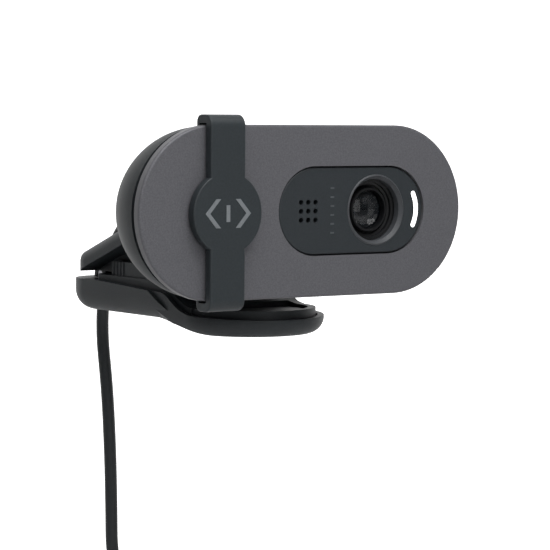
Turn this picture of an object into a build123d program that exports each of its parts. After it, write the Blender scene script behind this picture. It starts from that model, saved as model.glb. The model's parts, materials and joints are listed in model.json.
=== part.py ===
from build123d import *
import math
import os

# Clip-on webcam with a folding monitor clip, a sliding privacy shutter and a fixed USB cord.
# Millimetres. X runs to the right, Y runs back from the face, Z runs up.
# The shapes are drawn with Y = 0 on the front face and Z = 0 on the clip's seat. Each node is
# then moved back by SEAT_Y, so the part's origin is the middle of the seat.

# ---- driving dimensions ------------------------------------------------------------------
SEAT_Y = 38.0  # middle of the clip's seat, behind the front face
LENS_AXIS_Z = 19.4  # head's middle above the seat

FACE_W = 73.0  # front plate
FACE_H = 31.8
PLATE_T = 1.7
FRAME_BACK = 3.0  # the frame's flange and the casing meet here
CASE_INSET = 0.3  # casing inside the plate's outline
CASE_BACK = 20.0
CASE_WALL = 1.4
CASE_TAPER = 9.2  # how far the casing draws in from its front to its flat back

WINDOW_X = 10.6  # dark window panel and what looks through it
WINDOW_R = 8.3
WINDOW_L = 8.7
WINDOW_GAP = 0.25
WINDOW_FRONT = 0.25
WINDOW_BACK = 2.0
LENS_X = 16.2
RING_R = 6.67
RING_BORE = 5.85
HOOD_R = 6.2
BARREL_R = 4.3
MIC_X = 0.5
MIC_PITCH = 1.65
MIC_HOLE_R = 0.5
LED_X = 19.4  # centre of the lamp's arc
LED_R = 6.5
LED_HALF_ANGLE = 27.0
LED_STROKE = 1.0

BOARD_FRONT = 14.2
BOARD_T = 1.2
BOARD_R = 8.8
FRAME_SCREWS = [(x, z) for x in (-14.0, 14.0) for z in (-11.2, 11.2)]
BOARD_SCREWS = [(x, z) for x in (-12.0, 8.0) for z in (-6.2, 6.2)]

SHUTTER_X = -18.9  # open place of the privacy shutter
STRAP_W = 7.5
STRAP_FRONT = -2.0
STRAP_T = 1.6
BADGE_R = 7.42
HOOK_Z = 17.7
HOOK_SLOT_Z = 16.15
HOOK_LIP_Z = 15.25
HOOK_BACK = 2.8
HOOK_SLOT_BACK = 1.9

CLIP_W = 30.0
CLIP_WALL = 1.5
FOOT_Y = 18.6  # centre of the clip's round front end
FOOT_R = 14.4
FOOT_WALL = 1.2
LEG_REAR = 64.3
TONGUE_GAP = 0.4  # between the tongue and the leg's trough
TONGUE_REAR = 53.8
TONGUE_TOP = 5.3
BLOCK_TOP = 8.1
BLOCK_REAR = 48.0
CLIP_SCREWS = [(x, y) for x in (-9.0, 9.0) for y in (32.5, 43.5)]
FOOT_LOW = -4.3  # underside of the round foot
FOOT_ROUND = 3.2  # rounding of its lower edge
BAR_LOW = -2.05  # underside of the leg behind the foot
BAR_ROUND = 4.0
BAR_FRONT = 18.0
BAR_SLANT = [(31.5, 3.6), (20.0, -2.6)]  # (y, z) ends of the crease where the bar meets the foot
FOOT_END = 33.0  # the foot's straight sides run back to here
# three points (x, y, z) of the plane that fades the foot into the bar
FOOT_BLEND = [(14.4, 21.0, -3.0), (11.0, 33.2, -2.06), (15.0, 33.2, 1.9)]
LEG_HIGH = 9.0  # top of the blank that the leg is cut from
LEG_CORNER = 9.0  # rounding of the leg's rear corners, seen from above
ARM_FRONT = 23.2
ARM_REAR = 60.4
ARM_UNDER = 5.7
ARM_SLOPE = 19.95
ARM_EDGE = (41.1, 12.9)  # a point (y, z) on the arm's sloping side edge
ARM_CROWN = 3.7
ARM_SHOULDER = 2.5
ARM_WEB = 10.5  # half width of the arm's web
ARM_DECK = 17.6
ARM_REAR_ROUND = 2.0
ARM_REACH = (24.0, 26.0)  # how far the arm's section runs forward and back of ARM_EDGE
POCKET_X = 4.6  # the two pockets under the arm
POCKET_W = 6.4
POCKET_REAR = 55.5

TILT_AXIS = (24.5, 13.4)  # (y, z)
TILT_PIN_R = 1.25
TILT_LUG_R = 3.0
LEG_AXIS = (60.0, 4.5)
LEG_PIN_R = 1.0
LEG_LUG_R = 2.1
LUG_HALF = 3.6  # half width of either hinge's middle lug
EAR_IN = 4.15  # inner and outer faces of either hinge's ears
EAR_OUT = 8.0
PIN_PLAY = 0.05

CORD_D = 2.6
CORD_LENGTH = 1500.0
GLAND_END = 28.0
CORD_Z = 21.4
COIL_R = 15.3  # middle of the coil's turns
COIL_BUNDLE_R = 5.8
COIL_CENTRE = (19.0, 69.2, -82.6)
TIE_T = 0.7
TIE_HALF_ANGLE = 15.0

HEAD = Pos(0, 0, LENS_AXIS_Z)
FACE_R = FACE_H / 2
FACE_L = FACE_W / 2 - FACE_R
CASE_R = FACE_R - CASE_INSET
NODES = {}


def add(name, shape):
    """Keep one sub-part, moved so that the origin is the middle of the clip's seat."""
    NODES[name] = Pos(0, -SEAT_Y, 0) * shape


# ---- shapes used again and again ---------------------------------------------------------
def pill(half_straight, profile):
    """A long round-ended solid: a (radius, depth) profile run along X and turned at both ends."""
    face = make_face(profile)
    upper = Rot(0, -90, 0) * face
    lower = Rot(0, 90, 0) * face
    middle = extrude(upper, half_straight, dir=(1, 0, 0), both=True)
    middle += extrude(lower, half_straight, dir=(1, 0, 0), both=True)
    end = revolve(lower, Axis((0, 0, 0), (0, -1, 0)), 180)
    right = Pos(half_straight, 0, 0) * end
    return middle + right + mirror(right, Plane.YZ)


def flat_pill(half_straight, radius, front, back, edge=0.0):
    """A pill of one thickness, with its front edge rounded by edge."""
    points = [(0, front), (radius - edge, front), (radius, front + edge), (radius, back), (0, back)]
    if edge == 0:
        return pill(half_straight, Polyline(*points[:2], *points[3:], close=True))
    start, corner_in, corner_out, rear, rear_axis = points
    middle = (radius - edge * (1 - math.sqrt(0.5)), front + edge * (1 - math.sqrt(0.5)))
    profile = Line(start, corner_in) + ThreePointArc(corner_in, middle, corner_out)
    profile += Polyline(corner_out, rear, rear_axis, start)
    return pill(half_straight, profile)


def turned(*points):
    """A solid turned about the Y axis from a closed (radius, depth) outline."""
    return revolve(make_face(Polyline(*points, close=True)), Axis.Y, 360)


def disc(radius, front, back, bore=0.0):
    """A disc, or a ring if it has a bore, between two depths."""
    return turned((bore, front), (radius, front), (radius, back), (bore, back))


def box(x, y, z):
    """A box between three (low, high) pairs."""
    size = [high - low for low, high in (x, y, z)]
    middle = [(low + high) / 2 for low, high in (x, y, z)]
    return Pos(*middle) * Box(*size)


def side_plate(outline, x_low, x_high):
    """A closed (y, z) outline made solid from x_low to x_high."""
    face = make_face(Plane.YZ * outline)
    return Pos(x_low, 0, 0) * extrude(face, x_high - x_low, dir=(1, 0, 0))


def rod(axis, radius, x_low, x_high):
    """A round bar along X through a (y, z) point."""
    bar = Rot(0, 90, 0) * Cylinder(radius, x_high - x_low)
    return Pos((x_low + x_high) / 2, *axis) * bar


def both_sides(shape):
    """A shape together with its mirror image across the middle."""
    return shape + mirror(shape, Plane.YZ)


def screw(shank_r, head_r, head_t, length):
    """A cross-head screw along +Y, with the top of its head at Y = 0."""
    body = turned((0, 0), (head_r, 0), (head_r, head_t), (shank_r, head_t), (shank_r, length), (0, length))
    cross = box((-head_r * 0.6, head_r * 0.6), (0, head_t * 0.5), (-0.15, 0.15))
    return body - cross - Rot(0, 90, 0) * cross


def at(places, shape):
    """Copies of a shape at (x, z) places, as one group."""
    return Compound(children=[Pos(x, 0, z) * shape for x, z in places])


# ---- head: front -------------------------------------------------------------------------
def led_arc(front, back, stroke):
    """The lamp's curved slot or its filling."""
    path = CenterArc((0, 0), LED_R, -LED_HALF_ANGLE, 2 * LED_HALF_ANGLE)
    stripe = Plane.XZ.offset(-back) * SlotArc(path, stroke)
    return Pos(LED_X, 0, 0) * extrude(stripe, back - front)


def mic_holes(front, back):
    """The three by three sound holes, as solids to cut away."""
    places = [(MIC_X + i * MIC_PITCH, k * MIC_PITCH) for i in (-1, 0, 1) for k in (-1, 0, 1)]
    return [Pos(x, 0, z) * disc(MIC_HOLE_R, front, back) for x, z in places]


def front_plate():
    plate = flat_pill(FACE_L, FACE_R, 0, PLATE_T, 0.45)
    return plate - Pos(WINDOW_X, 0, 0) * flat_pill(WINDOW_L, WINDOW_R, -1, PLATE_T + 1)


def window_panel():
    panel = Pos(WINDOW_X, 0, 0) * flat_pill(WINDOW_L, WINDOW_R - WINDOW_GAP, WINDOW_FRONT, WINDOW_BACK, 0.3)
    panel -= Pos(LENS_X, 0, 0) * disc(RING_R + 0.03, -1, 4)
    panel -= led_arc(-1, 4, LED_STROKE + 0.06)
    for hole in mic_holes(-1, 4):
        panel -= hole
    return panel


def face_frame():
    """Black inner frame: it carries the plate and window, and the board on four posts."""
    frame = flat_pill(FACE_L, 14.9, PLATE_T, FRAME_BACK)
    skirt = flat_pill(FACE_L, CASE_R - CASE_WALL - 0.4, FRAME_BACK - 0.5, 4.5)
    frame += skirt - flat_pill(FACE_L, CASE_R - CASE_WALL - 1.6, FRAME_BACK - 1, 7)
    for x, z in BOARD_SCREWS:
        frame += Pos(x, 0, z) * disc(1.7, FRAME_BACK - 0.5, BOARD_FRONT)
    frame -= Pos(WINDOW_X, 0, 0) * flat_pill(WINDOW_L, WINDOW_R - WINDOW_GAP + 0.1, 0, WINDOW_BACK)
    frame -= Pos(LENS_X, 0, 0) * disc(HOOD_R + 0.1, 0, 9)
    frame -= Pos(MIC_X, 0, 0) * disc(2.7, 0, 9)
    frame -= led_arc(0, 9, LED_STROKE + 0.2)
    for x, z in FRAME_SCREWS:
        frame -= Pos(x, 0, z) * disc(1.75, 0, 2.6)
        frame -= Pos(x, 0, z) * disc(0.95, 0, 9)
    for x, z in BOARD_SCREWS:
        frame -= Pos(x, 0, z) * disc(0.55, BOARD_FRONT - 5, BOARD_FRONT + 1)
    return frame


def lens_ring():
    """Chamfered trim ring round the lens."""
    ring = turned((RING_R - 0.25, 0.1), (RING_R, 0.25), (RING_R, WINDOW_BACK), (RING_BORE, WINDOW_BACK),
                  (RING_BORE, 0.75))
    return Pos(LENS_X, 0, 0) * ring


def lens_hood():
    """Stepped black funnel that stops stray light."""
    steps = [(5.8, 2.05), (5.8, 2.3), (5.25, 2.4), (5.2, 2.9), (4.75, 3.0), (4.7, 3.4), (4.4, 3.5)]
    hood = turned(*steps, (4.4, 4.6), (HOOD_R, 4.6), (HOOD_R, 2.05))
    return Pos(LENS_X, 0, 0) * hood


def lens_barrel():
    """Threaded lens tube with its front stop."""
    tube = turned((3.7, 2.3), (BARREL_R - 0.2, 2.3), (BARREL_R, 2.6), (BARREL_R, 12.0), (3.0, 12.0), (3.0, 6.2),
                  (1.5, 5.2), (1.5, 4.6), (3.7, 4.1))
    return Pos(LENS_X, 0, 0) * tube


def glass(radius, front, sag, back):
    """A lens element: domed in front, flat behind."""
    dome = ThreePointArc((0, front), (radius / 2, front + sag * 0.24), (radius, front + sag))
    outline = dome + Polyline((radius, front + sag), (radius, back), (0, back), (0, front))
    return Pos(LENS_X, 0, 0) * revolve(make_face(outline), Axis.Y, 360)


def lens_holder():
    """Square holder that the lens tube screws into, over the image sensor."""
    holder = box((-5.2, 5.2), (8.0, BOARD_FRONT), (-5.2, 5.2))
    holder -= disc(BARREL_R + PIN_PLAY, 7, 12.2)
    holder -= box((-3.6, 3.6), (12.0, BOARD_FRONT + 1), (-3.2, 3.2))
    return Pos(LENS_X, 0, 0) * holder


def led_light_pipe():
    """Clear pipe from the lamp chip to the curved slot."""
    stem_x = LED_X + LED_R
    stem = box((stem_x - 0.5, stem_x + 0.5), (3.0, BOARD_FRONT - 0.9), (-1.2, 1.2))
    return led_arc(WINDOW_FRONT + 0.05, 3.6, LED_STROKE) + stem


def mic_boot():
    """Rubber tube that seals the microphone to its holes."""
    return Pos(MIC_X, 0, 0) * disc(3.3, FRAME_BACK, BOARD_FRONT - 1.1, 2.65)


# ---- head: board and casing --------------------------------------------------------------
def main_board():
    board = flat_pill(FACE_L, BOARD_R, BOARD_FRONT, BOARD_FRONT + BOARD_T)
    for x, z in BOARD_SCREWS:
        board -= Pos(x, 0, z) * disc(0.8, BOARD_FRONT - 1, BOARD_FRONT + 3)
    return board


def board_chips():
    """Image processor, memory and small parts on the board's back."""
    back = BOARD_FRONT + BOARD_T
    chips = [box((11, 19), (back, back + 1.0), (-4, 4)), box((-9, -4), (back, back + 0.9), (-3, 2))]
    for i in range(6):
        chips.append(box((-24 + 2.2 * i, -22.8 + 2.2 * i), (back, back + 0.6), (3.4, 4.2)))
    return Compound(children=chips)


def case_outline(inset):
    """Half outline of the casing, drawn in by inset all round."""
    radius = CASE_R - inset
    back = CASE_BACK - inset
    depth = back - FRAME_BACK
    shoulder = [(0.6, 0.33), (0.87, 0.66)]
    points = [(radius, FRAME_BACK)]
    points += [(radius - CASE_TAPER * draw, FRAME_BACK + depth * way) for way, draw in shoulder]
    points += [(radius - CASE_TAPER, back)]
    curve = Spline(*points, tangents=[(0, 1), (-1, 0)])
    return curve + Polyline(points[-1], (0, back), (0, FRAME_BACK), points[0])


def rear_housing():
    """Back casing, with screw posts inside and the tilt lug behind."""
    case = pill(FACE_L, case_outline(0))
    hollow = pill(FACE_L, case_outline(CASE_WALL))
    posts = [Pos(x, 0, z) * disc(2.1, 6.4, 15.0) for x, z in FRAME_SCREWS]
    shell = case - hollow
    for post in posts:
        shell += post & case
    y, z = TILT_AXIS
    lug = rod(TILT_AXIS, TILT_LUG_R, -LUG_HALF, LUG_HALF)
    lug += box((-LUG_HALF, LUG_HALF), (CASE_BACK - 0.7, y), (z - TILT_LUG_R, z + TILT_LUG_R))
    shell += HEAD.inverse() * lug
    shell -= HEAD.inverse() * rod(TILT_AXIS, TILT_PIN_R + PIN_PLAY, -9, 9)
    shell -= Pos(0, 0, CORD_Z - LENS_AXIS_Z) * disc(2.2, 15, 22)
    for x, z in FRAME_SCREWS:
        shell -= Pos(x, 0, z) * disc(0.7, 6, 12.5)
    return shell


def cord_gland():
    """Tapered strain relief, locked through the back of the casing."""
    inner, outer = CASE_BACK - CASE_WALL, CASE_BACK
    gland = turned((0, inner - 1.2), (2.9, inner - 1.2), (2.9, inner), (2.15, inner), (2.15, outer), (3.0, outer),
                   (3.0, outer + 1.2), (2.5, outer + 1.8), (1.9, GLAND_END), (0, GLAND_END))
    return Pos(0, 0, CORD_Z - LENS_AXIS_Z) * gland


# ---- privacy shutter ---------------------------------------------------------------------
def shutter():
    """Strap with a round badge; its two ends hook round the plate and slide along it."""
    back = STRAP_FRONT + STRAP_T
    strap = box((-STRAP_W / 2, STRAP_W / 2), (STRAP_FRONT, HOOK_BACK), (-HOOK_Z, HOOK_Z))
    strap = fillet(strap.edges().filter_by(Axis.X).group_by(Axis.Y)[0], 2.1)
    strap = fillet(strap.edges().filter_by(Axis.X).group_by(Axis.Y)[-1], 1.3)
    strap -= box((-9, 9), (back, HOOK_SLOT_BACK), (-HOOK_SLOT_Z, HOOK_SLOT_Z))
    strap -= box((-9, 9), (back, HOOK_BACK + 1), (-HOOK_LIP_Z, HOOK_LIP_Z))
    strap += disc(BADGE_R, STRAP_FRONT, back)
    rim = strap.faces().filter_by(Axis.Y).sort_by(Axis.Y)[0].edges()
    return Pos(SHUTTER_X, 0, 0) * fillet(rim, 0.3)


# ---- clip --------------------------------------------------------------------------------
def clip_plan(half_width, front_r, rear, rear_r, low, high):
    """The clip's outline seen from above: round in front, square with rounded corners behind."""
    straight = box((-half_width, half_width), (FOOT_Y, rear), (low, high))
    corners = straight.edges().filter_by(Axis.Z).group_by(Axis.Y)[-1]
    front = Pos(0, FOOT_Y, (low + high) / 2) * Cylinder(front_r, high - low)
    return fillet(corners, rear_r) + front


def foot_blend(foot):
    """Takes the foot's lower rear corners off along a plane on each side, so it fades into the bar."""
    corner, low, high = (Vector(*point) for point in FOOT_BLEND)
    outward = (low - corner).cross(high - corner).normalized()
    if outward.X < 0:
        outward = outward * -1
    cutter = Plane(origin=corner, z_dir=outward) * Pos(0, 0, 10) * Box(60, 60, 20)
    return foot - both_sides(cutter)


def leg_hull():
    """Outer form of the folding leg: a round foot and a wider bar behind it, both rounded below."""
    half = CLIP_W / 2
    foot = box((-FOOT_R, FOOT_R), (FOOT_Y, FOOT_END), (FOOT_LOW, LEG_HIGH))
    foot += Pos(0, FOOT_Y, (FOOT_LOW + LEG_HIGH) / 2) * Cylinder(FOOT_R, LEG_HIGH - FOOT_LOW)
    low_edges = foot.faces().sort_by(Axis.Z)[0].edges().sort_by(Axis.Y)[:-1]
    foot = foot_blend(fillet(low_edges, FOOT_ROUND))
    bar = box((-half, half), (BAR_FRONT, LEG_REAR), (BAR_LOW, LEG_HIGH))
    bar = fillet(bar.edges().filter_by(Axis.Z).group_by(Axis.Y)[-1], LEG_CORNER)
    low_edges = bar.faces().sort_by(Axis.Z)[0].edges().sort_by(Axis.Y)[1:]
    bar = fillet(low_edges, BAR_ROUND)
    slant = Polyline(*BAR_SLANT, (0, BAR_SLANT[1][1]), (0, 12), (42, 12), close=True)
    return (bar - side_plate(slant, -half - 1, half + 1)) + foot


def leg_side():
    """Side outline of the leg: a level rear, and a front end that dips to the foot."""
    top = Polyline((66, 4.2), (50, 4.3), (27.6, 3.25))
    dip = Spline((27.6, 3.25), (23.2, 1.3), (17.0, -0.6), tangents=[(-1, -0.1), (-1, -0.1)])
    front = Polyline((17.0, -0.6), (2, -1.05), (2, -6), (12.5, -6), (12.5, FOOT_LOW))
    belly = Spline((12.5, FOOT_LOW), (16.8, -3.9), (21, -2.9), (27.6, -2.06), tangents=[(1, 0), (1, 0.03)])
    return top + dip + front + belly + Polyline((27.6, -2.06), (66, -2.06), (66, 4.2))


def leg_shell():
    """Folding leg: a trough that wraps the tongue, with a round foot in front and hinge ears behind."""
    half = CLIP_W / 2
    leg = leg_hull() & side_plate(leg_side(), -half, half)
    floor = Polyline((53.0, -0.3), (28.0, -0.3)) + Spline((28, -0.3), (21, -1.75), (15.5, -3.0),
                                                         tangents=[(-1, 0), (-1, 0)])
    floor += Polyline((15.5, -3.0), (0, -3.0), (0, 12), (55, 12), (55, -0.3), (53, -0.3))
    inside = clip_plan(half - CLIP_WALL, FOOT_R - FOOT_WALL, TONGUE_REAR + 0.6, 2.0, -9, 13)
    leg -= side_plate(floor, -half, half) & inside
    y, z = LEG_AXIS
    ear = rod(LEG_AXIS, LEG_LUG_R, EAR_IN, EAR_OUT)
    ear += box((EAR_IN, EAR_OUT), (y - LEG_LUG_R, y + LEG_LUG_R), (z - 2.2, z))
    leg -= rod(LEG_AXIS, LEG_LUG_R + 0.35, -EAR_IN, EAR_IN)
    leg += both_sides(ear)
    leg -= rod(LEG_AXIS, LEG_PIN_R + PIN_PLAY, -9, 9)
    leg -= Pos(0, 10.5, -3.1) * Cylinder(4.8, 0.6)
    return leg


def foot_pad():
    """Rubber pad on the foot's inner face."""
    return Pos(0, 10.5, -3.05) * Cylinder(4.7, 0.7)


def clip_tongue():
    """Root of the clip: seat plate nested in the leg, with a rimmed front lip."""
    half = CLIP_W / 2 - CLIP_WALL - TONGUE_GAP
    front_r = FOOT_R - FOOT_WALL - TONGUE_GAP
    top = Polyline((55, TONGUE_TOP), (30, TONGUE_TOP))
    dip = Spline((30, TONGUE_TOP), (24.5, 3.0), (18, 0.65), tangents=[(-1, 0), (-1, -0.05)])
    front = Polyline((18, 0.65), (4, 0.65), (4, -2.1), (9.5, -2.1), (9.5, -1.3), (20, -1.3))
    under = Polyline((20, -1.3), (26, 0.2), (55, 0.2), (55, TONGUE_TOP))
    tongue = side_plate(top + dip + front + under, -half, half)
    tongue &= clip_plan(half, front_r, TONGUE_REAR, 2.0, -9, 9)
    dish = Pos(0, FOOT_Y, 0.65) * Cylinder(front_r - 1.5, 1.3)
    tongue -= dish & box((-half, half), (0, 21), (-1, 2))
    tongue -= box((-10, 10), (27, 49), (0, 0.7))
    for x, y in CLIP_SCREWS:
        tongue -= Pos(x, y, 1.5) * Cylinder(2.3, 2.0)
        tongue -= Pos(x, y, 3) * Cylinder(1.15, 9)
    return tongue


def bezel_pad():
    """Rubber seat pad under the tongue."""
    return box((-9.9, 9.9), (27.1, 48.9), (0, 0.7))


def clip_block():
    """Spacer block between tongue and arm, with ribbed rear corners."""
    block = box((-12.5, 12.5), (ARM_FRONT, BLOCK_REAR), (TONGUE_TOP, BLOCK_TOP))
    for i in range(4):
        groove = Pos(12.6, BLOCK_REAR - 0.9 - 1.2 * i, 7) * Cylinder(0.35, 6)
        block -= both_sides(groove)
    for x, y in CLIP_SCREWS:
        block -= Pos(x, y, 6) * Cylinder(1.15, 9)
    return block


def arm_section(outline):
    """One of the arm's cross-sections, run along its slope."""
    angle = math.radians(ARM_SLOPE)
    plane = Plane(origin=(0, *ARM_EDGE), x_dir=(1, 0, 0), z_dir=(0, -math.cos(angle), math.sin(angle)))
    face = make_face(plane * outline)
    forward, back = ARM_REACH
    return extrude(face, forward) + extrude(face, -back)


def arm_roof():
    """The arm's roof: an upright edge, a round shoulder and a low crown."""
    half = CLIP_W / 2
    inner = half - ARM_SHOULDER
    bend = (half - ARM_SHOULDER * 0.32, ARM_SHOULDER * 0.66)
    outline = Polyline((-half, 0), (-half, -1.3), (half, -1.3), (half, 0))
    outline += ThreePointArc((half, 0), bend, (inner, ARM_SHOULDER))
    outline += ThreePointArc((inner, ARM_SHOULDER), (0, ARM_CROWN), (-inner, ARM_SHOULDER))
    outline += ThreePointArc((-inner, ARM_SHOULDER), (-bend[0], bend[1]), (-half, 0))
    return arm_section(outline)


def rear_rim(edge):
    """Whether an edge lies on the top rim of the arm's rear end."""
    low = edge.bounding_box().min
    high = edge.bounding_box().max
    return high.Y > ARM_REAR - 0.01 and low.Z > ARM_UNDER + 0.5 and high.X - low.X > 5


def clip_arm():
    """Sloping upper arm: crowned roof over a narrower web, tilt ears in front, leg lug behind."""
    half = CLIP_W / 2
    web = arm_section(Polyline((-ARM_WEB, 0), (-ARM_WEB, -14), (ARM_WEB, -14), (ARM_WEB, 0), close=True))
    web &= box((-half, half), (ARM_FRONT, ARM_REAR - 2.0), (ARM_UNDER, 30))
    arm = arm_roof() & box((-half, half), (ARM_FRONT, ARM_REAR), (ARM_UNDER, ARM_DECK))
    corners = arm.edges().filter_by(Axis.Z).group_by(Axis.Y)[-1]
    arm = fillet(corners, 6.0)
    arm = fillet(arm.edges().filter_by(rear_rim), ARM_REAR_ROUND)
    arm += web & box((-half, half), (0, 99), (0, ARM_DECK))
    arm -= box((-half, half), (0, BLOCK_REAR + 0.2), (0, BLOCK_TOP))
    for x in (-POCKET_X, POCKET_X):
        arm -= box((x - POCKET_W / 2, x + POCKET_W / 2), (BLOCK_REAR + 1.2, POCKET_REAR), (0, 7.0))
    arm -= box((-EAR_IN, EAR_IN), (0, TILT_AXIS[0] + TILT_LUG_R + 0.5), (0, 30))
    arm -= rod(LEG_AXIS, LEG_LUG_R + 0.35, -EAR_OUT - 0.3, EAR_OUT + 0.3)
    y, z = LEG_AXIS
    lug = rod(LEG_AXIS, LEG_LUG_R, -LUG_HALF, LUG_HALF)
    lug += box((-LUG_HALF, LUG_HALF), (y - 3.2, y + 0.4), (z, z + 3.0))
    arm += lug
    arm -= rod(LEG_AXIS, LEG_PIN_R + PIN_PLAY, -9, 9)
    arm -= rod(TILT_AXIS, TILT_PIN_R + PIN_PLAY, -EAR_OUT, EAR_OUT)
    for x, screw_y in CLIP_SCREWS:
        arm -= Pos(x, screw_y, BLOCK_TOP) * Cylinder(0.8, 6.4)
    return arm


def washers(axis, radius, bore):
    """A pair of friction washers, one on each side of a hinge's middle lug."""
    ring = rod(axis, radius, LUG_HALF + 0.04, EAR_IN - 0.04) - rod(axis, bore, 0, 9)
    return Compound(children=[ring, mirror(ring, Plane.YZ)])


# ---- cord --------------------------------------------------------------------------------
def coil_top():
    x, y, z = COIL_CENTRE
    return (x, y, z + COIL_R)


CORD_RUN = [
    (0, GLAND_END, CORD_Z), (0, 44.0, CORD_Z), (0, 61.0, 17.2), (0, 69.8, 7.6), (0, 72.8, -6.5),
    (0.1, 70.3, -20.0), (0.3, 69.4, -33.0), (0.5, 69.2, -44.5), (0.6, 69.2, -55.3), (2.9, 69.2, -60.8),
    (7.1, 69.2, -65.0), (12.6, 69.2, -67.3), coil_top(),
]
TAIL = [
    coil_top(), (24.9, 71.2, -67.3), (30.1, 73.8, -69.4), (34.0, 76.3, -73.4), (36.1, 78.2, -78.6),
    (36.2, 79.3, -85.0),
]
PLUG_TOP = TAIL[-1]


def tube(name, points):
    """A cord's tube: straight runs joined by arcs as large as the runs allow. Prints its radii."""
    places = [Vector(*point) for point in points]
    runs = [b - a for a, b in zip(places, places[1:])]
    radii = []
    for a, b in zip(runs, runs[1:]):
        half_turn = math.radians(a.get_angle(b)) / 2
        radii.append(0.45 * min(a.length, b.length) / math.tan(half_turn))
    path = FilletPolyline(*points, radius=radii)
    section = Plane(origin=path @ 0, z_dir=path % 0) * Circle(CORD_D / 2)
    solid = sweep(section, path)
    ratio = solid.volume / (path.length * math.pi * CORD_D**2 / 4)
    print(f"{name}: length {path.length:.1f}, radii {[round(r, 1) for r in radii]}, volume ratio {ratio:.4f}")
    return solid, path.length


def cord_coil():
    """Outer shape of the put-away cord: a neat round coil in an upright plane."""
    x, y, z = COIL_CENTRE
    return Pos(x, y, z) * Rot(90, 0, 0) * Torus(COIL_R, COIL_BUNDLE_R)


def cord_tie():
    """Strap round the coil's bundle, at its top."""
    ring = Circle(COIL_BUNDLE_R + TIE_T) - Circle(COIL_BUNDLE_R + 0.03)
    band = Plane.YZ * Pos(0, COIL_R) * ring
    strap = revolve(band, Axis((0, 0, 0), (0, 1, 0)), 2 * TIE_HALF_ANGLE)
    return Pos(*COIL_CENTRE) * Rot(0, -TIE_HALF_ANGLE, 0) * strap


def plug_overmould():
    x, y, z = PLUG_TOP
    body = box((x - 7.8, x + 7.8), (y - 4, y + 4), (z - 26, z - 6))
    body = fillet(body.edges().filter_by(Axis.Z), 2.4)
    neck = Pos(x, y, z - 3) * Cone(2.8, 2.0, 6)
    return body + neck


def plug_shell():
    x, y, z = PLUG_TOP
    shell = box((x - 6.0, x + 6.0), (y - 2.25, y + 2.25), (z - 38, z - 26))
    return shell - box((x - 5.7, x + 5.7), (y - 1.95, y + 1.95), (z - 39, z - 27))


def plug_insert():
    x, y, z = PLUG_TOP
    return box((x - 5.6, x + 5.6), (y + 0.1, y + 1.9), (z - 37.2, z - 27))


def plug_contacts():
    x, y, z = PLUG_TOP
    strips = [
        box((x + i - 0.5, x + i + 0.5), (y - 0.1, y + 0.1), (z - 36.6, z - 28)) for i in (-3.5, -1.0, 1.0, 3.5)
    ]
    return Compound(children=strips)


# ---- nodes -------------------------------------------------------------------------------
add("front_plate", HEAD * front_plate())
add("window_panel", HEAD * window_panel())
add("face_frame", HEAD * face_frame())
add("frame_screws", HEAD * at(FRAME_SCREWS, Pos(0, 1.75, 0) * screw(0.65, 1.6, 0.8, 9.0)))
add("lens_ring", HEAD * lens_ring())
add("lens_hood", HEAD * lens_hood())
add("lens_barrel", HEAD * lens_barrel())
add("lens_front_glass", HEAD * glass(3.6, 2.55, 0.9, 4.05))
add("lens_rear_glass", HEAD * glass(2.9, 9.6, 0.6, 11.4))
add("lens_holder", HEAD * lens_holder())
add("infrared_filter", HEAD * Pos(LENS_X, 0, 0) * box((-3.5, 3.5), (12.4, 12.8), (-3.1, 3.1)))
add("image_sensor", HEAD * Pos(LENS_X, 0, 0) * box((-3.2, 3.2), (13.3, BOARD_FRONT), (-2.6, 2.6)))
add("led_light_pipe", HEAD * led_light_pipe())
LED_CHIP_X = LED_X + LED_R
LED_CHIP = box((LED_CHIP_X - 0.8, LED_CHIP_X + 0.8), (BOARD_FRONT - 0.8, BOARD_FRONT), (-0.5, 0.5))
add("led_chip", HEAD * LED_CHIP)
add("mic_boot", HEAD * mic_boot())
add("microphone", HEAD * Pos(MIC_X, 0, 0) * box((-1.9, 1.9), (BOARD_FRONT - 1.0, BOARD_FRONT), (-1.5, 1.5)))
add("main_board", HEAD * main_board())
BOARD_BACK = BOARD_FRONT + BOARD_T
add("board_chips", HEAD * board_chips())
BOARD_SCREW = Pos(0, BOARD_BACK + 0.7, 0) * Rot(0, 0, 180) * screw(0.5, 1.3, 0.7, 4.5)
add("board_screws", HEAD * at(BOARD_SCREWS, BOARD_SCREW))
add("cable_socket", HEAD * box((-3.5, 3.5), (BOARD_BACK, BOARD_BACK + 1.7), (3.0, 6.4)))
add("rear_housing", HEAD * rear_housing())
add("cord_gland", HEAD * cord_gland())

add("shutter", HEAD * shutter())
FELT_BACK = -0.12
add("shutter_felt", HEAD * Pos(SHUTTER_X, 0, 0) * disc(5.5, STRAP_FRONT + STRAP_T, FELT_BACK))

add("clip_tongue", clip_tongue())
add("bezel_pad", bezel_pad())
add("clip_block", clip_block())
add("clip_arm", clip_arm())
upright_screw = Rot(90, 0, 0) * screw(0.75, 2.1, 1.6, 9.5)
add("clip_screws", Compound(children=[Pos(x, y, 0.8) * upright_screw for x, y in CLIP_SCREWS]))
add("tilt_pin", rod(TILT_AXIS, TILT_PIN_R, -EAR_OUT + 0.2, EAR_OUT - 0.2))
add("tilt_washers", washers(TILT_AXIS, 2.6, TILT_PIN_R + PIN_PLAY))

add("leg_shell", leg_shell())
add("foot_pad", foot_pad())
add("leg_pin", rod(LEG_AXIS, LEG_PIN_R, -EAR_OUT + 0.1, EAR_OUT - 0.1))
add("leg_washers", washers(LEG_AXIS, 1.9, LEG_PIN_R + PIN_PLAY))

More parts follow.
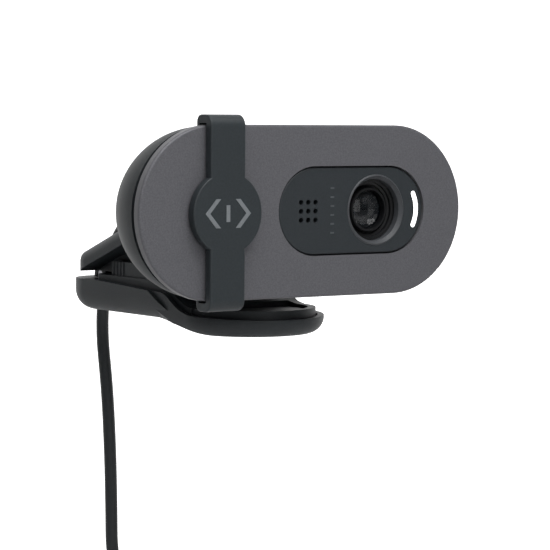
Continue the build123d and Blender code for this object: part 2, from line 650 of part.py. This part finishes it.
run, run_length = tube("cord_run", CORD_RUN)
tail, tail_length = tube("cord_tail", TAIL)
turns = (CORD_LENGTH - run_length - tail_length) / (2 * math.pi * COIL_R)
print(f"coil: {turns:.2f} turns")
add("cord_run", run)
add("cord_coil", cord_coil())
add("cord_tail", tail)
add("cord_tie", cord_tie())
add("plug_overmould", plug_overmould())
add("plug_shell", plug_shell())
add("plug_insert", plug_insert())
add("plug_contacts", plug_contacts())

os.makedirs("parts", exist_ok=True)
for node, shape in NODES.items():
    export_step(shape, f"parts/{node}.step")
print(f"{len(NODES)} nodes")
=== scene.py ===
# %% [markdown]
# # A clip-on webcam, dressed for its portrait
# The CAD model already gives every part its shape, size and place. This lesson gives the parts
# their finish: painted plate, textured mouldings, coated glass, a glowing lamp and a real cord.
# Everything is in metres. X runs right, Y runs back from the face, Z runs up, and the origin is
# the middle of the clip's seat.

# %% Load the frame
import bmesh
import bpy
import json
import math
from mathutils import Matrix, Vector


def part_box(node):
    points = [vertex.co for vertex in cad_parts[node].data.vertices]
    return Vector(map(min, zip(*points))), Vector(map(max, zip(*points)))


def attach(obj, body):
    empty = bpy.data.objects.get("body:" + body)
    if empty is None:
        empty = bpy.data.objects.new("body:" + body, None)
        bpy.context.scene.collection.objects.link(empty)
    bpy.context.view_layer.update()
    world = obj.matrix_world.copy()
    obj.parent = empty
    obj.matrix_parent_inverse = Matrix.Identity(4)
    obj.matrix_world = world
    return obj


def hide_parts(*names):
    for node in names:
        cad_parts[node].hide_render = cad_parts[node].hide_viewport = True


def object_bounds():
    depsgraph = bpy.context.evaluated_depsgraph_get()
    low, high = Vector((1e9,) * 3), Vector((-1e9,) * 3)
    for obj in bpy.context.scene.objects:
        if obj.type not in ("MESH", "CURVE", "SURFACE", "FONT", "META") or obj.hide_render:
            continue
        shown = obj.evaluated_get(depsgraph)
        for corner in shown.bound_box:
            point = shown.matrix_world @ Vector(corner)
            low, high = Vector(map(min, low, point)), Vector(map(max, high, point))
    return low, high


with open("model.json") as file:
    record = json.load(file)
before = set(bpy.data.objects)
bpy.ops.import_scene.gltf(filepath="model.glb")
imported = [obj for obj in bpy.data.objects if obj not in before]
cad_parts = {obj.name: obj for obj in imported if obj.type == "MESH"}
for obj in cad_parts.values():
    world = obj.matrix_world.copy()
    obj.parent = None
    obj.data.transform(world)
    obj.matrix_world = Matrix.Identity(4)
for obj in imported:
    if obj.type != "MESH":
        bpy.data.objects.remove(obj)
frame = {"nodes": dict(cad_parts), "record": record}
cad_box = [list(corner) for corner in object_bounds()]
nodes = frame["nodes"]
MM = 0.001

# %% [markdown]
# ## The camera
# A product portrait uses a long lens from well back, so that the round face keeps its shape. The
# camera is placed by the direction it looks in: azimuth round the object, a small elevation, and a
# trace of roll. An aim point and a distance do the rest.

# %% Place the camera
AZIMUTH, ELEVATION, ROLL = (math.radians(angle) for angle in (-35.517, 3.766, 0.374))
AIM = Vector((-5.18, -35.25, 7.67)) * MM
DISTANCE = 438.6 * MM
LENS = 155.92


def place_camera():
    """Looks at AIM from AZIMUTH and ELEVATION, rolled a little about the line of sight."""
    back = Vector((math.sin(AZIMUTH) * math.cos(ELEVATION), -math.cos(AZIMUTH) * math.cos(ELEVATION),
                   math.sin(ELEVATION)))
    level = Vector((math.cos(AZIMUTH), math.sin(AZIMUTH), 0))
    upright = back.cross(level)
    right = math.cos(ROLL) * level + math.sin(ROLL) * upright
    up = back.cross(right)
    camera = bpy.data.objects.new("camera", bpy.data.cameras.new("camera"))
    bpy.context.scene.collection.objects.link(camera)
    turn = Matrix((right, up, back)).transposed().to_4x4()
    camera.matrix_world = Matrix.Translation(AIM + back * DISTANCE) @ turn
    camera.data.lens = LENS
    camera.data.clip_start = 0.01
    bpy.context.scene.camera = camera
    return camera


camera = place_camera()
print("camera at", [round(c, 4) for c in camera.location])

# %% [markdown]
# ## The cord
# The cord is one and a half metres of 2.6 mm cable. It leaves the casing level, bends over behind
# the clip, hangs, and the length that nobody needs is wound in a coil with its plug beside it. One
# smooth spline carries the whole length: the route's own points first, then the turns of the coil,
# worked out by a loop, then the short tail to the plug.

# %% Cord sizes
CORD_D = 2.6
SEAT_BACK = 38.0  # the seat's middle is this far behind the face
COIL_R = 15.3
COIL_CENTRE = Vector((19.0, 69.2, -82.6))
COIL_TOP = COIL_CENTRE + Vector((0, 0, COIL_R))
TURNS = 14
POINTS_PER_TURN = 16
ROUTE = [
    (0, 28.0, 21.4), (0, 44.0, 21.4), (0, 61.0, 17.2), (0, 69.8, 7.6), (0, 72.8, -6.5),
    (0.1, 70.3, -20.0), (0.3, 69.4, -33.0), (0.5, 69.2, -44.5), (0.6, 69.2, -55.3), (2.9, 69.2, -60.8),
    (7.1, 69.2, -65.0), (12.6, 69.2, -67.3),
]
TAIL = [
    (24.9, 71.2, -67.3), (30.1, 73.8, -69.4), (34.0, 76.3, -73.4), (36.1, 78.2, -78.6), (36.2, 79.3, -85.0),
]

# %% [markdown]
# A bundle of fourteen cords packs as four in the middle and ten round them. Each turn keeps to its
# own place in that bundle, and shifts to the next place as it passes under the tie. The number of
# turns is whole, so the coil's own radius takes up the last of the length.

# %% Work out the coil's turns
INNER_RING = [(1.95, 45 + 90 * k) for k in range(4)]
OUTER_RING = [(4.42, 9 + 36 * k) for k in range(10)]
SHIFT_SHARE = 0.14  # of a turn, spent changing places
BUNDLE = OUTER_RING[7:] + OUTER_RING[:4] + INNER_RING + OUTER_RING[4:7]


def bundle_place(turn):
    """Where the cord lies across the bundle: (outward, sideways) after so many turns."""
    whole = min(int(turn), len(BUNDLE) - 1)
    share = min(max((turn - whole) / SHIFT_SHARE, 0), 1)
    share = share * share * (3 - 2 * share)
    ends = []
    for index in (max(whole - 1, 0), whole):
        radius, angle = BUNDLE[index]
        ends.append(Vector((math.cos(math.radians(angle)), math.sin(math.radians(angle)))) * radius)
    return ends[0].lerp(ends[1], share)


def coil_points():
    """The coil's turns, clockwise from its top as seen from in front."""
    points = []
    for step in range(TURNS * POINTS_PER_TURN + 1):
        turn = step / POINTS_PER_TURN
        angle = 2 * math.pi * turn
        outward, sideways = bundle_place(turn)
        radius = COIL_R + outward
        points.append(COIL_CENTRE + Vector((radius * math.sin(angle), sideways, radius * math.cos(angle))))
    return points


def in_place(point):
    """A point measured from the face, in millimetres, as a place in the frame."""
    return Vector((point[0], point[1] - SEAT_BACK, point[2])) * MM


def make_cord():
    """The whole cord as one smooth curve with a round section."""
    points = [in_place(p) for p in ROUTE + coil_points() + TAIL]
    curve = bpy.data.curves.new("usb_cord", "CURVE")
    curve.dimensions = "3D"
    spline = curve.splines.new("NURBS")
    spline.points.add(len(points) - 1)
    for point, place in zip(spline.points, points):
        point.co = (*place, 1)
    spline.order_u = 3
    spline.use_endpoint_u = True
    spline.resolution_u = 6
    curve.bevel_depth = CORD_D / 2 * MM
    curve.bevel_resolution = 4
    curve.use_fill_caps = True
    cord = bpy.data.objects.new("usb_cord", curve)
    bpy.context.scene.collection.objects.link(cord)
    return cord


def line_length(cord):
    """Length of a curve's own line, without its section."""
    depth, cord.data.bevel_depth = cord.data.bevel_depth, 0
    line = bpy.data.meshes.new_from_object(cord.evaluated_get(bpy.context.evaluated_depsgraph_get()))
    cord.data.bevel_depth = depth
    places = [v.co.copy() for v in line.vertices]
    bpy.data.meshes.remove(line)
    return sum((b - a).length for a, b in zip(places, places[1:]))


cord = make_cord()
bpy.context.view_layer.update()
print("cord length", round(line_length(cord), 4), "m")

# %% [markdown]
# ## Mouldings and paint
# Nearly everything on a webcam is injection moulded plastic. What tells one moulding from another
# is scale: a spark-eroded texture on the clip, a fine metallic paint on the face, and gloss only
# where light must pass. Each finish below starts from one helper that builds a principled shader
# with a fine bump and a little unevenness in tone.

# %% Shader helpers


def linear(red, green, blue):
    """A screen colour, 0 to 255, as linear light."""
    parts = [c / 255 for c in (red, green, blue)]
    return tuple(c / 12.92 if c <= 0.04045 else ((c + 0.055) / 1.055) ** 2.4 for c in parts) + (1.0,)


def new_material(name):
    """An empty node material: its tree, its shader and its object coordinates."""
    material = bpy.data.materials.new(name)
    material.use_nodes = True
    tree = material.node_tree
    shader = tree.nodes["Principled BSDF"]
    where = tree.nodes.new("ShaderNodeTexCoord")
    return material, tree, shader, where.outputs["Object"]


def noise(tree, where, scale, detail=2.0):
    """Noise on object coordinates; scale is in bumps per metre."""
    node = tree.nodes.new("ShaderNodeTexNoise")
    node.inputs["Scale"].default_value = scale
    node.inputs["Detail"].default_value = detail
    tree.links.new(where, node.inputs["Vector"])
    return node.outputs["Fac"]


def ramp(tree, value, low, high, dark, light):
    """Maps a value's low to high onto two colours."""
    node = tree.nodes.new("ShaderNodeValToRGB")
    node.color_ramp.elements[0].position = low
    node.color_ramp.elements[0].color = dark
    node.color_ramp.elements[1].position = high
    node.color_ramp.elements[1].color = light
    tree.links.new(value, node.inputs["Fac"])
    return node.outputs["Color"]


def bump(tree, shader, height, distance):
    """Raises the surface by height, up to distance metres."""
    node = tree.nodes.new("ShaderNodeBump")
    node.inputs["Strength"].default_value = 1.0
    node.inputs["Distance"].default_value = distance
    tree.links.new(height, node.inputs["Height"])
    tree.links.new(node.outputs["Normal"], shader.inputs["Normal"])


def spread(tree, value, low, high):
    """Maps a 0 to 1 value onto a range, for roughness."""
    node = tree.nodes.new("ShaderNodeMapRange")
    node.inputs["To Min"].default_value = low
    node.inputs["To Max"].default_value = high
    tree.links.new(value, node.inputs["Value"])
    return node.outputs["Result"]


def grained(name, tone, contrast, grain, depth, rough, metallic=0.0, detail=2.0, gloss=0.3):
    """Plastic with a fine grain: tone varies by contrast, and grain is in bumps per metre."""
    material, tree, shader, where = new_material(name)
    fine = noise(tree, where, grain, detail)
    dark = tuple(c * (1 - contrast) for c in tone[:3]) + (1.0,)
    light = tuple(c * (1 + contrast) for c in tone[:3]) + (1.0,)
    tree.links.new(ramp(tree, fine, 0.3, 0.7, dark, light), shader.inputs["Base Color"])
    broad = noise(tree, where, 60.0)
    tree.links.new(spread(tree, broad, rough - 0.05, rough + 0.05), shader.inputs["Roughness"])
    bump(tree, shader, fine, depth)
    shader.inputs["Metallic"].default_value = metallic
    shader.inputs["Specular IOR Level"].default_value = gloss
    return material


def plain_glass(name, tint, rough=0.02):
    """Clear moulded or ground glass with a faint unevenness."""
    material, tree, shader, where = new_material(name)
    shader.inputs["Base Color"].default_value = tint
    shader.inputs["Transmission Weight"].default_value = 1.0
    shader.inputs["IOR"].default_value = 1.52
    tree.links.new(spread(tree, noise(tree, where, 300.0), rough, rough + 0.02), shader.inputs["Roughness"])
    return material


def smoked_glass(name, tint, opacity):
    """A coated dark dome: glossy, and only partly see-through."""
    material, tree, shader, where = new_material(name)
    shader.inputs["Base Color"].default_value = tint
    shader.inputs["IOR"].default_value = 1.7
    shader.inputs["Alpha"].default_value = opacity
    tree.links.new(spread(tree, noise(tree, where, 300.0), 0.03, 0.06), shader.inputs["Roughness"])
    return material


def painted_edge_highlight(material, start, end, tone):
    """Paints a highlight on a plate's side wall: the colour lightens over a span of depth (object Y, in
    metres).
    """
    tree = material.node_tree
    shader = tree.nodes["Principled BSDF"]
    face_colour = shader.inputs["Base Color"].links[0].from_socket
    where = tree.nodes.new("ShaderNodeTexCoord")
    parts = tree.nodes.new("ShaderNodeSeparateXYZ")
    tree.links.new(where.outputs["Object"], parts.inputs["Vector"])
    share = tree.nodes.new("ShaderNodeMapRange")
    share.inputs["From Min"].default_value = start
    share.inputs["From Max"].default_value = end
    tree.links.new(parts.outputs["Y"], share.inputs["Value"])
    mix = tree.nodes.new("ShaderNodeMix")
    mix.data_type = "RGBA"
    tree.links.new(share.outputs["Result"], mix.inputs[0])
    tree.links.new(face_colour, mix.inputs[6])
    mix.inputs[7].default_value = tone
    tree.links.new(mix.outputs[2], shader.inputs["Base Color"])


print("shader helpers ready")

# %% [markdown]
# The face is sprayed with a warm grey paint that carries fine metal flakes, so it sparkles a little
# and brightens towards the light. The clip, casing and shutter are one graphite moulding colour
# with a cool cast and a finer, duller grain. The shutter's copy of it is a shade lighter.

# %% Finishes
finishes = {
    "plate_grey": grained("plate_grey", linear(85, 85, 89), 0.14, 3600, 0.000006, 0.5, 0.2, 3.0),
    "window_graphite": grained("window_graphite", linear(39, 43, 46), 0.08, 3000, 0.000004, 0.42),
    "graphite": grained("graphite", linear(29, 33, 36), 0.10, 2400, 0.000010, 0.55),
    "shutter_graphite": grained("shutter_graphite", linear(37, 42, 45), 0.10, 2400, 0.000008, 0.5),
    "inner_black": grained("inner_black", linear(12, 13, 15), 0.10, 1500, 0.000005, 0.45),
    "ring_grey": grained("ring_grey", linear(58, 60, 63), 0.05, 2500, 0.000003, 0.52),
    "chip_black": grained("chip_black", linear(18, 18, 20), 0.15, 3000, 0.000004, 0.5),
    "soft_rubber": grained("soft_rubber", linear(34, 35, 37), 0.12, 1800, 0.000010, 0.8),
    "shell_steel": grained("shell_steel", linear(190, 190, 192), 0.04, 1500, 0.000002, 0.28, 1.0),
    "screw_steel": grained("screw_steel", linear(150, 150, 154), 0.06, 1500, 0.000003, 0.35, 1.0),
    "board_green": grained("board_green", linear(24, 74, 42), 0.15, 700, 0.000006, 0.35),
    "connector_white": grained("connector_white", linear(222, 220, 212), 0.03, 1200, 0.000004, 0.4),
    "connector_black": grained("connector_black", linear(24, 24, 26), 0.08, 1200, 0.000004, 0.45),
    "contact_gold": grained("contact_gold", linear(224, 180, 90), 0.05, 2000, 0.000002, 0.22, 1.0),
    "cord_rubber": grained("cord_rubber", linear(34, 37, 39), 0.08, 1600, 0.000006, 0.5),
    "tie_strap": grained("tie_strap", linear(26, 26, 28), 0.25, 1400, 0.000040, 0.9),
    "felt": grained("felt", linear(34, 34, 35), 0.3, 2600, 0.000050, 0.95),
    "washer_nylon": grained("washer_nylon", linear(196, 196, 190), 0.03, 900, 0.000004, 0.4),
    "lens_glass": smoked_glass("lens_glass", linear(12, 17, 22), 0.4),
    "print_grey": grained("print_grey", linear(104, 108, 111), 0.04, 1200, 0.000001, 0.5),
    "faint_print": grained("faint_print", linear(66, 70, 73), 0.06, 1200, 0.000001, 0.5),
    "iris_grey": grained("iris_grey", linear(58, 60, 62), 0.08, 1500, 0.0000004, 0.5),
    "filter_glass": plain_glass("filter_glass", (0.85, 0.55, 0.6, 1.0)),
}


def glowing(name, tone, strength):
    """A diffusing lamp cover: white plastic lit from behind."""
    material, tree, shader, where = new_material(name)
    shader.inputs["Base Color"].default_value = tone
    shader.inputs["Roughness"].default_value = 0.4
    glow = noise(tree, where, 800.0)
    tree.links.new(spread(tree, glow, strength * 0.97, strength * 1.03), shader.inputs["Emission Strength"])
    shader.inputs["Emission Color"].default_value = (1, 1, 1, 1)
    return material


# Painted highlight: the plate's side wall is painted a lighter grey over this span of depth.
HIGHLIGHT_START, HIGHLIGHT_END = -37.8 * MM, -37.4 * MM
painted_edge_highlight(finishes["plate_grey"], HIGHLIGHT_START, HIGHLIGHT_END, linear(98, 98, 101))
finishes["lamp_white"] = glowing("lamp_white", (0.95, 0.95, 0.95, 1), 1.3)


def paint(obj, finish):
    """Gives an object one finish and no other."""
    obj.data.materials.clear()
    obj.data.materials.append(finishes[finish])


for part in frame["record"]["subparts"]:
    paint(nodes[part["node"]], part["material_slot"])
paint(nodes["shutter"], "shutter_graphite")

# %% Dress the cord
paint(cord, "cord_rubber")
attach(cord, "head")
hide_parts("cord_run", "cord_coil", "cord_tail")

# %% [markdown]
# ## Small prints
# Two things are pad printed on the real one: a column of small marks beside the microphone and an
# emblem on the shutter's badge. Print is a film with almost no height, so each is a thin solid
# that stands a few hundredths of a millimetre proud. The column repeats one bar, so Geometry
# Nodes lay it out; the emblem here is a plain pair of arrowheads that shows which way to slide.

# %% Column of marks
PRINT_T = 0.04
WINDOW_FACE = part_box("window_panel")[0].y
LENS_Z = 19.4


def bar_column_tree():
    """Geometry Nodes: a column of small bars. Returns the tree and its input identifiers."""
    tree = bpy.data.node_groups.new("bar_column", "GeometryNodeTree")
    inputs = (("Start", "NodeSocketVector"), ("Step", "NodeSocketVector"), ("Count", "NodeSocketInt"),
              ("Bar", "NodeSocketVector"), ("Finish", "NodeSocketMaterial"))
    names = {title: tree.interface.new_socket(title, in_out="INPUT", socket_type=kind).identifier
             for title, kind in inputs}
    tree.interface.new_socket("Geometry", in_out="OUTPUT", socket_type="NodeSocketGeometry")
    entry, leave = tree.nodes.new("NodeGroupInput"), tree.nodes.new("NodeGroupOutput")
    line, bar = tree.nodes.new("GeometryNodeMeshLine"), tree.nodes.new("GeometryNodeMeshCube")
    copies = tree.nodes.new("GeometryNodeInstanceOnPoints")
    real, dress = tree.nodes.new("GeometryNodeRealizeInstances"), tree.nodes.new("GeometryNodeSetMaterial")
    wires = (
        (entry.outputs["Start"], line.inputs["Start Location"]),
        (entry.outputs["Step"], line.inputs["Offset"]),
        (entry.outputs["Count"], line.inputs["Count"]),
        (entry.outputs["Bar"], bar.inputs["Size"]),
        (line.outputs["Mesh"], copies.inputs["Points"]),
        (bar.outputs["Mesh"], copies.inputs["Instance"]),
        (copies.outputs["Instances"], real.inputs["Geometry"]),
        (real.outputs["Geometry"], dress.inputs["Geometry"]),
        (entry.outputs["Finish"], dress.inputs["Material"]),
        (dress.outputs["Geometry"], leave.inputs["Geometry"]),
    )
    for start, end in wires:
        tree.links.new(start, end)
    return tree, names


def grown(name, tree, names, values):
    """Runs a node tree on an empty object and keeps the result as a plain mesh."""
    seed = bpy.data.objects.new(name, bpy.data.meshes.new(name))
    bpy.context.scene.collection.objects.link(seed)
    modifier = seed.modifiers.new("grow", "NODES")
    modifier.node_group = tree
    for title, value in values.items():
        modifier[names[title]] = value
    bpy.context.view_layer.update()
    seed.update_tag()
    mesh = bpy.data.meshes.new_from_object(seed.evaluated_get(bpy.context.evaluated_depsgraph_get()))
    seed.modifiers.remove(modifier)
    seed.data = mesh
    mesh.name = name
    return seed


tree, names = bar_column_tree()
MARK_X, MARK_LOW, MARK_STEP, MARK_W, MARK_H = 6.0, LENS_Z - 4.1, 1.66, 0.85, 0.32
marks = grown("window_marks", tree, names, {
    "Start": Vector((MARK_X * MM, WINDOW_FACE, MARK_LOW * MM)), "Step": Vector((0, 0, MARK_STEP * MM)),
    "Count": 6, "Bar": Vector((MARK_W, 2 * PRINT_T, MARK_H)) * MM, "Finish": finishes["faint_print"],
})
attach(marks, "head")
print("window marks:", len(marks.data.polygons), "faces")

# %% Emblem on the badge
BADGE_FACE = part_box("shutter")[0].y


def solid_object(name, mesh):
    """Keeps a closed bmesh as an object, with its faces turned outwards."""
    bmesh.ops.recalc_face_normals(mesh, faces=mesh.faces)
    data = bpy.data.meshes.new(name)
    mesh.to_mesh(data)
    mesh.free()
    piece = bpy.data.objects.new(name, data)
    bpy.context.scene.collection.objects.link(piece)
    return piece


def flat_print(name, outlines, face_y):
    """Thin solids from flat (x, z) outlines in millimetres, listed anticlockwise from in front."""
    mesh = bmesh.new()
    for outline in outlines:
        front = [mesh.verts.new((x * MM, face_y - PRINT_T * MM, z * MM)) for x, z in outline]
        back = [mesh.verts.new((x * MM, face_y + PRINT_T * MM, z * MM)) for x, z in outline]
        mesh.faces.new(front)
        mesh.faces.new(back[::-1])
        for a in range(len(outline)):
            b = (a + 1) % len(outline)
            mesh.faces.new((front[a], back[a], back[b], front[b]))
    return solid_object(name, mesh)


def arrowhead(tip_x, side):
    """One chevron that points along side (-1 left, 1 right)."""
    return [(BADGE_X + side * x, LENS_Z + z) for x, z in
            ((tip_x, 0), (tip_x - 2.3, 2.6), (tip_x - 3.3, 2.6), (tip_x - 1.0, 0), (tip_x - 3.3, -2.6),
             (tip_x - 2.3, -2.6))]


BADGE_X = -18.9
bar = [(BADGE_X + x, LENS_Z + z) for x, z in ((-0.4, -1.5), (0.4, -1.5), (0.4, 1.5), (-0.4, 1.5))]
emblem = flat_print("badge_emblem", [arrowhead(4.9, 1), arrowhead(4.9, -1), bar], BADGE_FACE)
paint(emblem, "print_grey")
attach(emblem, "shutter")
print("emblem:", len(emblem.data.polygons), "faces")

# %% [markdown]
# ## The lens
# Behind the front element of a small lens sits a dark ring with the pupil in its middle. Both are
# turned parts, so a short outline is spun round the lens axis. The glass is spun finely and shaded
# smooth, because a reflection shows every facet.

# %% Iris ring and front glass
LENS_X = 16.2
IRIS_OUTLINE = [(3.55, 4.06), (3.2, 4.12), (2.3, 4.16), (2.1, 4.26), (1.5, 4.34), (1.5, 4.55), (3.55, 4.2)]


def turned(name, outline, centre_x, steps=64, ring=True):
    """A solid spun round a Y axis from (radius, depth behind the face) points.

    A ring's outline closes on itself; any other begins and ends on the axis.
    """
    mesh = bmesh.new()
    rings = []
    for step in range(steps):
        angle = 2 * math.pi * step / steps
        rings.append([mesh.verts.new(((centre_x + r * math.cos(angle)) * MM, (y - SEAT_BACK) * MM,
                                      (LENS_Z + r * math.sin(angle)) * MM)) for r, y in outline])
    for k in range(steps):
        here, there = rings[k], rings[(k + 1) % steps]
        for a in range(len(outline) if ring else len(outline) - 1):
            b = (a + 1) % len(outline)
            mesh.faces.new((here[a], here[b], there[b], there[a]))
    bmesh.ops.remove_doubles(mesh, verts=mesh.verts, dist=1e-7)
    return solid_object(name, mesh)


iris = turned("iris_ring", IRIS_OUTLINE, LENS_X)
paint(iris, "iris_grey")
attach(iris, "head")
print("iris ring:", len(iris.data.polygons), "faces")

GLASS_R, GLASS_FRONT, GLASS_SAG, GLASS_BACK = 3.6, 2.55, 0.9, 4.05
DOME_STEPS = 12
DOME_R = (GLASS_R ** 2 + GLASS_SAG ** 2) / (2 * GLASS_SAG)
radii = [GLASS_R * k / DOME_STEPS for k in range(DOME_STEPS + 1)]
dome = [(r, GLASS_FRONT + DOME_R - math.sqrt(DOME_R ** 2 - r ** 2)) for r in radii]
front_glass = turned("front_glass", dome + [(GLASS_R, GLASS_BACK), (0, GLASS_BACK)], LENS_X, 96, ring=False)
for face in front_glass.data.polygons:
    face.use_smooth = abs(face.normal.y) > 0.7
paint(front_glass, "lens_glass")
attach(front_glass, "head")
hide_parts("lens_front_glass")
print("front glass:", len(front_glass.data.polygons), "faces")

# %% [markdown]
# ## The studio
# A white sweep glows behind the object and stays dark under it, so that the clip keeps its depth.
# The key light hangs close above the face, which makes the plate lighter at its top. A weak strip
# on the left lights the plate's edge, and the bright line along that edge is a painted highlight on
# the side wall. A broad light from the camera's side fills, and a small card low in front puts the
# soft reflection on the lens.

# %% Floor and lights
FLOOR_Z = cad_box[0][2] - 0.001


def make_floor():
    """A white sweep: a level floor that curves up behind."""
    mesh = bmesh.new()
    near, depth, rise, bend, width = -1.5, 2.2, 3.0, 0.5, 4.0
    profile = [(near, 0.0), (depth - bend, 0.0)]
    profile += [(depth - bend + bend * math.sin(a), bend - bend * math.cos(a))
                for a in (math.radians(15 * k) for k in range(1, 7))]
    profile.append((depth, rise))
    look = Matrix.Rotation(AZIMUTH, 3, "Z")
    rows = []
    for along, up in profile:
        ends = [look @ Vector((side * width, along, up + FLOOR_Z)) for side in (-1, 1)]
        rows.append([mesh.verts.new(end) for end in ends])
    for front, behind in zip(rows, rows[1:]):
        mesh.faces.new((front[0], front[1], behind[1], behind[0]))
    data = bpy.data.meshes.new("floor")
    mesh.to_mesh(data)
    mesh.free()
    data.shade_smooth()
    floor = bpy.data.objects.new("floor", data)
    bpy.context.scene.collection.objects.link(floor)
    material, tree, shader, where = new_material("paper_white")
    shader.inputs["Base Color"].default_value = (0.8, 0.8, 0.8, 1)
    shader.inputs["Roughness"].default_value = 0.9
    shader.inputs["Emission Color"].default_value = (1, 1, 1, 1)
    along = tree.nodes.new("ShaderNodeVectorMath")
    along.operation = "DOT_PRODUCT"
    along.inputs[1].default_value = (-math.sin(AZIMUTH), math.cos(AZIMUTH), 0)
    tree.links.new(where, along.inputs[0])
    glow = tree.nodes.new("ShaderNodeMapRange")
    for socket, value in (("From Min", 0.15), ("From Max", 0.4), ("To Min", 0.0), ("To Max", 1.1)):
        glow.inputs[socket].default_value = value
    tree.links.new(along.outputs["Value"], glow.inputs["Value"])
    tree.links.new(glow.outputs["Result"], shader.inputs["Emission Strength"])
    data.materials.append(material)
    return floor


def area_light(name, azimuth, elevation, distance, size, power):
    """A square soft light that faces the object from a direction round it."""
    a, e = math.radians(azimuth), math.radians(elevation)
    back = Vector((math.sin(a) * math.cos(e), -math.cos(a) * math.cos(e), math.sin(e)))
    light = bpy.data.objects.new(name, bpy.data.lights.new(name, "AREA"))
    light.data.size = size
    light.data.energy = power
    light.location = AIM + back * distance
    light.rotation_mode = "QUATERNION"
    light.rotation_quaternion = back.to_track_quat("Z", "Y")
    bpy.context.scene.collection.objects.link(light)
    return light


floor = make_floor()
area_light("key", 2, 62, 0.36, 0.25, 1.6)
area_light("edge_left", -95, 45, 0.8, 0.3, 0.4)
area_light("front_left", -45, 40, 0.8, 0.5, 1.8)
area_light("lens_card", -4, 10, 0.5, 0.3, 0.4)
world = bpy.data.worlds.new("studio")
world.use_nodes = True
world.node_tree.nodes["Background"].inputs["Color"].default_value = (1, 1, 1, 1)
world.node_tree.nodes["Background"].inputs["Strength"].default_value = 0.12
bpy.context.scene.world = world
bpy.context.scene.view_settings.view_transform = "Standard"
print("studio ready, floor at", round(FLOOR_Z, 4))
